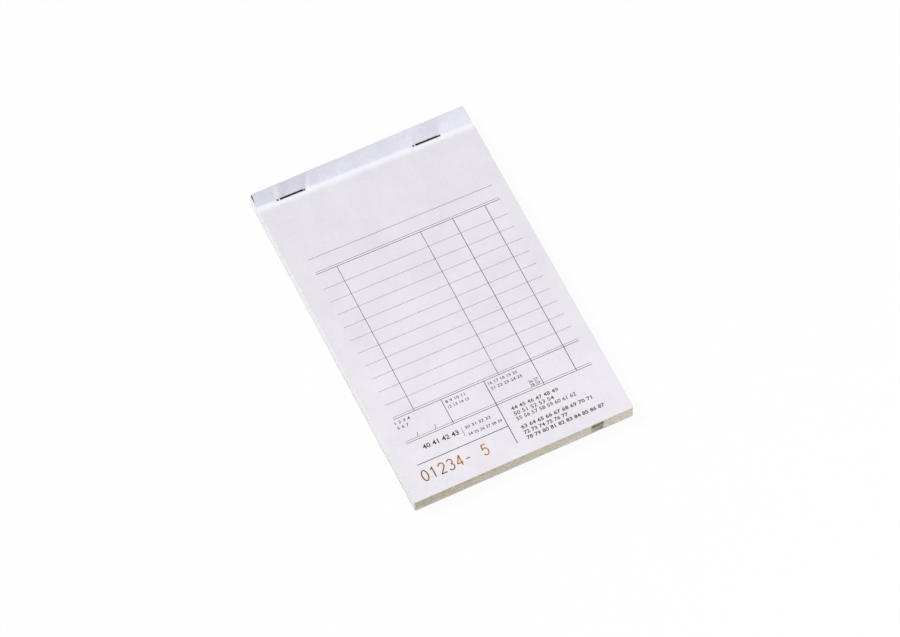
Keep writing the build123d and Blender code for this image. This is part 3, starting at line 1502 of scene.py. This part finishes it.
@dataclass
class Board:
    """Back board, with its edges rubbed soft and its corners worn."""

    finishes: Finishes
    node: str = "back_board"
    trim: float = 0.02 * MM
    corner_wear: float = 0.6 * MM
    worn_corner: float = 1.0 * MM
    edge_round: float = 0.09 * MM

    def build(self) -> None:
        """Round the edges of a copy of the board's solid."""
        mesh = bmesh.new()
        mesh.from_mesh(frame["nodes"][self.node].data)
        bmesh.ops.remove_doubles(mesh, verts=mesh.verts[:], dist=MERGE)
        bmesh.ops.dissolve_limit(mesh, angle_limit=math.radians(1), verts=mesh.verts[:], edges=mesh.edges[:])
        self.round_corners(mesh)
        self.round_rim(mesh)
        made = piece_of(mesh, "back_board_pulp", self.finishes.board)
        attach(made, "pad")
        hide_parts(self.node)

    def round_corners(self, mesh: bmesh.types.BMesh) -> None:
        """Round the four upright corners, one of them more worn than the others.

        Args:
            mesh: The board's mesh.
        """
        low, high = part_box(self.node)
        for x, y in ((low.x, low.y), (low.x, high.y), (high.x, low.y), (high.x, high.y)):
            corner = Vector((x, y))
            upright = [
                edge for edge in mesh.edges
                if all((vert.co.xy - corner).length < self.trim for vert in edge.verts)
            ]
            worn = x > 0.0 > y
            rounded(mesh, upright, self.worn_corner if worn else self.corner_wear, 5, "EDGES")

    def round_rim(self, mesh: bmesh.types.BMesh) -> None:
        """Round the upper and lower rims of the outline.

        Args:
            mesh: The board's mesh.
        """
        mesh.normal_update()
        low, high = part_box(self.node)
        reach = self.worn_corner

        def outer(edge: bmesh.types.BMEdge) -> bool:
            """Tell whether an edge runs along the outline.

            Args:
                edge: An edge of the board.

            Returns:
                Whether it does.
            """
            level = abs(edge.verts[0].co.z - edge.verts[1].co.z) < self.trim
            middle = (edge.verts[0].co + edge.verts[1].co) / 2.0
            beside = min(middle.x - low.x, high.x - middle.x, middle.y - low.y, high.y - middle.y)
            return level and beside < reach and edge.calc_face_angle(0.0) > 1.0

        rim = [edge for edge in mesh.edges if outer(edge)]
        rounded(mesh, rim, self.edge_round, 2, "EDGES")


@dataclass(frozen=True)
class Arc:
    """Stroke along part of an ellipse, in a figure's box of width 1 and height 1, angles in degrees."""

    x: float
    y: float
    wide: float
    tall: float
    start: float
    end: float
    step: float = 12.0

    def path(self) -> list[tuple[float, float]]:
        """Points along the stroke."""
        turns = [math.radians(turn) for turn in spread(self.start, self.end, self.step)]
        return [(self.x + self.wide * math.cos(turn), self.y + self.tall * math.sin(turn)) for turn in turns]


@dataclass(frozen=True)
class Straight:
    """Straight stroke in a figure's box of width 1 and height 1."""

    x: float
    y: float
    end_x: float
    end_y: float

    def path(self) -> list[tuple[float, float]]:
        """Both ends of the stroke."""
        return [(self.x, self.y), (self.end_x, self.end_y)]


FIGURES: dict[str, tuple[Union[Arc, Straight], ...]] = {
    "0": (Arc(0.5, 0.5, 0.5, 0.5, 0.0, 360.0),),
    "1": (Straight(0.6, 0.0, 0.6, 1.02), Straight(0.6, 0.98, 0.22, 0.77)),
    "2": (
        Arc(0.5, 0.73, 0.48, 0.27, 172.0, -35.0),
        Straight(0.9, 0.58, 0.04, 0.0),
        Straight(0.0, 0.02, 1.0, 0.02),
    ),
    "3": (Arc(0.47, 0.76, 0.45, 0.24, 155.0, -85.0), Arc(0.47, 0.265, 0.5, 0.265, 85.0, -155.0)),
    "4": (Straight(0.74, 0.0, 0.74, 1.02), Straight(0.74, 1.0, 0.0, 0.29), Straight(0.0, 0.27, 1.0, 0.27)),
    "5": (
        Straight(0.92, 0.98, 0.14, 0.98),
        Straight(0.17, 1.0, 0.09, 0.5),
        Arc(0.48, 0.32, 0.5, 0.33, 142.0, -150.0),
    ),
    "6": (Arc(0.5, 0.31, 0.48, 0.31, 0.0, 360.0), Arc(0.9, 0.31, 0.88, 0.69, 180.0, 95.0)),
    "-": (Straight(0.1, 0.42, 0.85, 0.42),),
}


@dataclass
class Form:
    """Printed form of a leaf: ruled lines, dotted item lines, columns, plain figures and the number.

    Places on the form are measured from the sheet's left side and down from its bound edge.
    """

    lay: Lay
    finishes: Finishes
    left: float = 8.9 * MM
    right: float = 93.8 * MM
    fine: float = 0.17 * MM
    medium: float = 0.24 * MM
    strong: float = 0.29 * MM
    bold: float = 0.34 * MM
    dot_width: float = 0.28 * MM
    dot_pitch: float = 0.5 * MM
    step: float = 2.5 * MM
    ink_height: float = 0.006 * MM
    ink_depth: float = 0.010 * MM

    top_line: float = 39.2 * MM
    header: tuple[float, float] = (45.9 * MM, 46.85 * MM)
    first_item: float = 54.6 * MM
    item_pitch: float = 6.66 * MM
    item_count: int = 10
    totals: tuple[float, float] = (121.0 * MM, 121.95 * MM)
    foot: tuple[float, float] = (133.3 * MM, 134.25 * MM)
    short_columns: tuple[float, ...] = (18.4 * MM, 56.9 * MM)
    long_columns: tuple[float, ...] = (71.8 * MM, 86.7 * MM)
    cell_divider: float = 30.4 * MM
    foot_divider: float = 50.0 * MM
    foot_end: float = 153.7 * MM
    number_line: float = 145.0 * MM
    number_line_ends: tuple[float, float] = (8.6 * MM, 49.9 * MM)
    caption_divider: tuple[float, float, float] = (32.2 * MM, 137.1 * MM, 141.6 * MM)
    slashes: tuple[float, ...] = (14.9 * MM, 23.0 * MM)
    slash_span: tuple[float, float] = (131.2 * MM, 133.1 * MM)
    slash_lean: float = 0.3 * MM
    caption_height: float = 1.4 * MM
    name_height: float = 2.3 * MM
    notice_left: float = 54.5 * MM
    notice_height: float = 1.8 * MM
    figure_pitch: float = 0.68

    tilt_top: tuple[float, float] = (39.0 * MM, 1.1 * MM)
    tilt_foot: tuple[float, float] = (134.0 * MM, 0.3 * MM)
    lean: float = -0.0035

    number_text: str = "01234- {}"
    first_number: int = 5
    number_places: tuple[float, ...] = (9.6, 13.3, 17.3, 21.2, 25.1, 28.9, 32.8, 36.7)
    number_size: tuple[float, float] = (2.5 * MM, 4.9 * MM)
    number_base: float = 153.0 * MM
    number_stroke: float = 0.56 * MM

    figures: Iterator[int] = field(default_factory=lambda: count(1))

    def place(self, x: float, y: float) -> Vector:
        """Turn a place on the form into one on the pad, with the print's slight tilt.

        Args:
            x: Distance from the left side.
            y: Distance down from the bound edge.

        Returns:
            The place on the pad, at height 0.
        """
        (top, top_drop), (foot, foot_drop) = self.tilt_top, self.tilt_foot
        share = min(max((y - top) / (foot - top), 0.0), 1.2)
        drop = top_drop + (foot_drop - top_drop) * share
        down = y + drop * (x - self.left) / (self.right - self.left)
        across = x + self.lean * (y - self.header[1])
        return Vector((CAD_BOX[0].x + across, CAD_BOX[1].y - down, 0.0))

    def ribbon(self, mesh: bmesh.types.BMesh, path: Sequence[tuple[float, float]], width: float,
               dotted: bool = False) -> None:
        """Print a stroke along a path.

        Args:
            mesh: The print.
            path: Points on the form, closed where the last is the first.
            width: Width of the stroke.
            dotted: Whether every other part is left out.
        """
        spots = [self.place(*spot) for spot in path]
        parts = len(spots) - 1
        closed = (spots[0] - spots[-1]).length < MERGE
        verts = bmesh.ops.create_grid(mesh, x_segments=parts, y_segments=1, size=1.0)["verts"]
        if dotted:
            faces = {face for vert in verts for face in vert.link_faces}
            gaps = [face for face in faces if int((face.calc_center_median().x + 1.0) / 2.0 * parts) % 2]
            bmesh.ops.delete(mesh, geom=gaps, context="FACES")
        kept = [vert for vert in verts if vert.is_valid]
        for vert in kept:
            here = round((vert.co.x + 1.0) / 2.0 * parts)
            before = spots[here - 1] if here else spots[parts - 1 if closed else 0]
            after = spots[here + 1] if here < parts else spots[1 if closed else parts]
            beside = (after - before).normalized().cross(Vector((0.0, 0.0, 1.0))) * (width / 2.0)
            vert.co = spots[here] + beside * vert.co.y
        bmesh.ops.remove_doubles(mesh, verts=kept, dist=MERGE)

    def line(self, mesh: bmesh.types.BMesh, start: tuple[float, float], end: tuple[float, float],
             width: float, dotted: bool = False) -> None:
        """Print a straight ruled or dotted line.

        Args:
            mesh: The print.
            start: Its first end on the form.
            end: Its other end.
            width: Its width.
            dotted: Whether it is a row of dots.
        """
        length = math.dist(start, end)
        parts = 2 * round(length / self.dot_pitch) - 1 if dotted else max(1, round(length / self.step))
        shares = [part / parts for part in range(parts + 1)]
        path = [tuple(a + (b - a) * share for a, b in zip(start, end)) for share in shares]
        self.ribbon(mesh, path, width, dotted)

    def across(self, mesh: bmesh.types.BMesh, y: float, width: float, dotted: bool = False) -> None:
        """Print a line across the form at this distance from the bound edge."""
        self.line(mesh, (self.left, y), (self.right, y), width, dotted)

    def write(self, mesh: bmesh.types.BMesh, text: str, left: float, base: float,
              size: tuple[float, float], weight: float) -> None:
        """Print plain figures in the built-in typeface.

        Args:
            mesh: The print.
            text: The figures.
            left: Left end on the form.
            base: Their base line on the form.
            size: Width and height of the line of figures.
            weight: How much bolder than usual the strokes are, as a share of the type size.
        """
        curve = bpy.data.curves.new("figures", "FONT")
        curve.body = text
        curve.resolution_u = 2
        curve.offset = weight
        typed = show("figures", curve)
        outline = bpy.data.meshes.new_from_object(typed.evaluated_get(bpy.context.evaluated_depsgraph_get()))
        bpy.data.objects.remove(typed)
        bpy.data.curves.remove(curve)
        xs = [vert.co.x for vert in outline.vertices]
        ys = [vert.co.y for vert in outline.vertices]
        wide, tall = size[0] / (max(xs) - min(xs)), size[1] / (max(ys) - min(ys))
        known = len(mesh.verts)
        mesh.from_mesh(outline)
        bpy.data.meshes.remove(outline)
        mesh.verts.ensure_lookup_table()
        for vert in mesh.verts[known:]:
            vert.co = self.place(left + (vert.co.x - min(xs)) * wide, base - (vert.co.y - min(ys)) * tall)

    def count_on(self, room: float) -> str:
        """Plain numbers, counting on from the last ones, for a line of this many figures.

        Args:
            room: Figures that the line has room for.

        Returns:
            The line.
        """
        text = str(next(self.figures))
        while len(text) < room - 1.5:
            text = f"{text} {next(self.figures)}"
        return text

    def small_print(self, mesh: bmesh.types.BMesh, left: float, right: float, base: float, height: float,
                    weight: float) -> None:
        """Fill a line of small print between two ends with plain numbers."""
        text = self.count_on((right - left) / (self.figure_pitch * height))
        self.write(mesh, text, left, base, (right - left, height), weight)

    def rules(self) -> bmesh.types.BMesh:
        """Print the form's lines and small print flat.

        Returns:
            The flat print.
        """
        mesh = bmesh.new()
        self.across(mesh, self.top_line, self.fine)
        self.across(mesh, self.header[0], self.fine)
        self.across(mesh, self.header[1], self.medium)
        for item in range(self.item_count):
            self.across(mesh, self.first_item + item * self.item_pitch, self.dot_width, dotted=True)
        for upper, lower in (self.totals, self.foot):
            self.across(mesh, upper, self.fine)
            self.across(mesh, lower, self.medium)
        for x in self.short_columns:
            self.line(mesh, (x, self.header[1]), (x, self.totals[1]), self.medium)
        for x in self.long_columns:
            self.line(mesh, (x, self.header[1]), (x, self.foot[1]), self.strong)
        self.line(mesh, (self.cell_divider, self.totals[1]), (self.cell_divider, self.foot[1]), self.strong)
        self.line(mesh, (self.foot_divider, self.totals[1]), (self.foot_divider, self.foot_end), self.bold)
        left, right = self.number_line_ends
        self.line(mesh, (left, self.number_line), (right, self.number_line), self.bold)
        divider, upper, lower = self.caption_divider
        self.line(mesh, (divider, upper), (divider, lower), self.fine)
        upper, lower = self.slash_span
        for x in self.slashes:
            self.line(mesh, (x + self.slash_lean, upper), (x - self.slash_lean, lower), self.medium)
        self.captions(mesh)
        return mesh

    def captions(self, mesh: bmesh.types.BMesh) -> None:
        """Print the small figures in the cells and in the foot.

        Args:
            mesh: The print.
        """
        for left, right, base in (
            (8.6, 15.4, 124.6), (8.6, 13.7, 127.1), (31.6, 40.4, 124.6), (31.6, 41.1, 127.1),
            (51.1, 64.3, 124.6), (51.1, 65.4, 127.1), (66.4, 70.7, 131.2), (66.4, 70.7, 133.0),
            (33.7, 45.2, 138.7), (33.7, 48.9, 142.1),
        ):
            self.small_print(mesh, left * MM, right * MM, base * MM, self.caption_height, 0.014)
        self.small_print(mesh, 14.2 * MM, 30.5 * MM, 139.7 * MM, self.name_height, 0.02)
        for right, base, weight in (
            (75.9, 139.4, 0.015), (72.7, 142.0, 0.015), (81.6, 144.5, 0.015),
            (86.8, 148.8, 0.026), (74.5, 151.5, 0.026), (90.0, 154.1, 0.026),
        ):
            self.small_print(mesh, self.notice_left, right * MM, base * MM, self.notice_height, weight)

    def number(self, sheet_set: int) -> bmesh.types.BMesh:
        """Print the running number of a set flat, in strokes of even width.

        Args:
            sheet_set: The set, with set 1 on top.

        Returns:
            The flat print.
        """
        mesh = bmesh.new()
        width, height = self.number_size
        text = self.number_text.format(self.first_number + sheet_set - 1)
        for middle, figure in zip(self.number_places, text):
            left = middle * MM - width / 2.0
            for stroke in FIGURES.get(figure, ()):
                path = [(left + x * width, self.number_base - y * height) for x, y in stroke.path()]
                self.ribbon(mesh, path, self.number_stroke)
        return mesh

    def settle(self, mesh: bmesh.types.BMesh, level: int) -> None:
        """Lay flat print on a sheet and give the ink its thickness.

        Args:
            mesh: The print.
            level: The sheet's level.
        """
        for vert in mesh.verts:
            vert.co.z = self.lay.face(level, vert.co.x, vert.co.y) + self.ink_height - self.ink_depth
        grow(mesh, mesh.faces[:], (0.0, 0.0, self.ink_depth))
        bmesh.ops.recalc_face_normals(mesh, faces=mesh.faces[:])

    def build(self) -> None:
        """Print the form, and the number of its set, on each sheet that can show its face."""
        faces = (
            ("original_01", Paper.ORIGINAL, 1, "original_leaf"),
            ("copy_01", Paper.COPY, 1, "copy_leaf"),
            ("original_02", Paper.ORIGINAL, 2, "pad"),
        )
        rules = self.rules()
        for name, paper, sheet_set, body in faces:
            prints = (
                (rules.copy(), "form", self.finishes.ink),
                (self.number(sheet_set), "number", self.finishes.number),
            )
            for mesh, kind, ink in prints:
                self.settle(mesh, level_of(paper, sheet_set))
                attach(piece_of(mesh, f"{name}_{kind}", ink), body)
        rules.free()


@dataclass(frozen=True)
class Lamp:
    """Square soft lamp that faces the pad."""

    name: str
    place: tuple[float, float, float]
    size: float
    power: float
    colour: Colour

    def hang(self) -> None:
        """Hang the lamp."""
        lamp = bpy.data.lights.new(self.name, "AREA")
        lamp.energy = self.power
        lamp.color = self.colour
        lamp.size = self.size
        made = show(self.name, lamp)
        made.location = self.place
        made.rotation_euler = (-Vector(self.place)).to_track_quat("-Z", "Y").to_euler()


@dataclass
class Studio:
    """Pale floor, soft light and the camera."""

    target: Vector = field(default_factory=lambda: Vector((1.8 * MM, -6.23 * MM, 0.0)))
    azimuth: float = math.radians(-25.96)
    elevation: float = math.radians(62.01)
    distance: float = 1996.5 * MM
    lens: float = 191.8
    fill: float = 0.5
    fill_colour: Colour = (1.0, 0.985, 0.965)
    floor_size: float = 8.0
    floor_colour: Colour = (0.9, 0.9, 0.9)
    floor_glow: float = 0.93
    floor_drop: float = 0.05 * MM
    lamps: tuple[Lamp, ...] = (
        Lamp("key", (-1.7, 1.6, 2.2), 1.3, 62.0, (0.985, 1.0, 1.01)),
        Lamp("front", (0.28, -0.42, 0.42), 0.35, 0.82, (1.0, 0.98, 0.95)),
    )

    def seen(self, graph: Graph) -> Value:
        """Mask of the rays that show the background: straight, mirrored or through glass.

        Args:
            graph: Graph of the world or of the floor's material.

        Returns:
            The mask.
        """
        path = graph.add("ShaderNodeLightPath").socket.node
        kinds = ("Is Camera Ray", "Is Glossy Ray", "Is Transmission Ray")
        rays = [Value(graph, path.outputs[kind]) for kind in kinds]
        return (rays[0] + rays[1] + rays[2]).above(0.5, 0.5)

    def world(self) -> None:
        """Fill the room with even light, and show it white."""
        made = bpy.data.worlds.new("even_light")
        bpy.context.scene.world = made
        graph = Graph(made)
        seen = self.seen(graph)
        colour = graph.mix(seen, self.fill_colour, (1.0, 1.0, 1.0))
        strength = seen * (1.0 - self.fill) + self.fill
        light = graph.add("ShaderNodeBackground", {}, {"Color": colour, "Strength": strength})
        graph.add("ShaderNodeOutputWorld", {}, {"Surface": light})

    def floor(self) -> None:
        """Lay a pale floor that shows nearly white and keeps the pad's shadow."""
        mesh = bmesh.new()
        bmesh.ops.create_grid(mesh, x_segments=1, y_segments=1, size=self.floor_size / 2.0)
        bmesh.ops.translate(mesh, verts=mesh.verts, vec=(0.0, 0.0, -self.floor_drop))
        material = bpy.data.materials.new("pale_floor")
        graph = Graph(material)
        matt = graph.add("ShaderNodeBsdfDiffuse", {}, {"Color": self.floor_colour})
        glow = graph.add("ShaderNodeEmission", {}, {"Color": (1.0, 1.0, 1.0), "Strength": 1.0})
        factor = self.seen(graph) * self.floor_glow
        shown = graph.add("ShaderNodeMixShader", {}, {0: factor, 1: matt, 2: glow})
        graph.add("ShaderNodeOutputMaterial", {}, {"Surface": shown})
        piece_of(mesh, "floor", material)

    def camera(self) -> None:
        """Set the camera at the photograph's viewing angle."""
        lens = bpy.data.cameras.new("camera")
        lens.lens = self.lens
        made = show("camera", lens)
        level = math.cos(self.elevation)
        aside, ahead = math.sin(self.azimuth) * level, math.cos(self.azimuth) * level
        back = Vector((aside, -ahead, math.sin(self.elevation)))
        made.location = self.target + back * self.distance
        made.rotation_euler = (-back).to_track_quat("-Z", "Y").to_euler()
        bpy.context.scene.camera = made

    def build(self) -> None:
        """Set up the studio."""
        bpy.context.scene.view_settings.view_transform = "Standard"
        self.world()
        self.floor()
        for lamp in self.lamps:
            lamp.hang()
        self.camera()


def main() -> None:
    """Build the pad's pieces in order, then the studio."""
    logging.basicConfig(level=logging.INFO, format="%(message)s")
    finishes = Finishes.make()
    lay = Lay.of_frame()
    Board(finishes).build()
    for node in Staple.NODES:
        Staple(node).build()
    sheets = Sheets(lay, finishes)
    Stack(sheets).build()
    TopSheets(sheets).build()
    Form(lay, finishes).build()
    Studio().build()


if __name__ == "__main__":
    main()
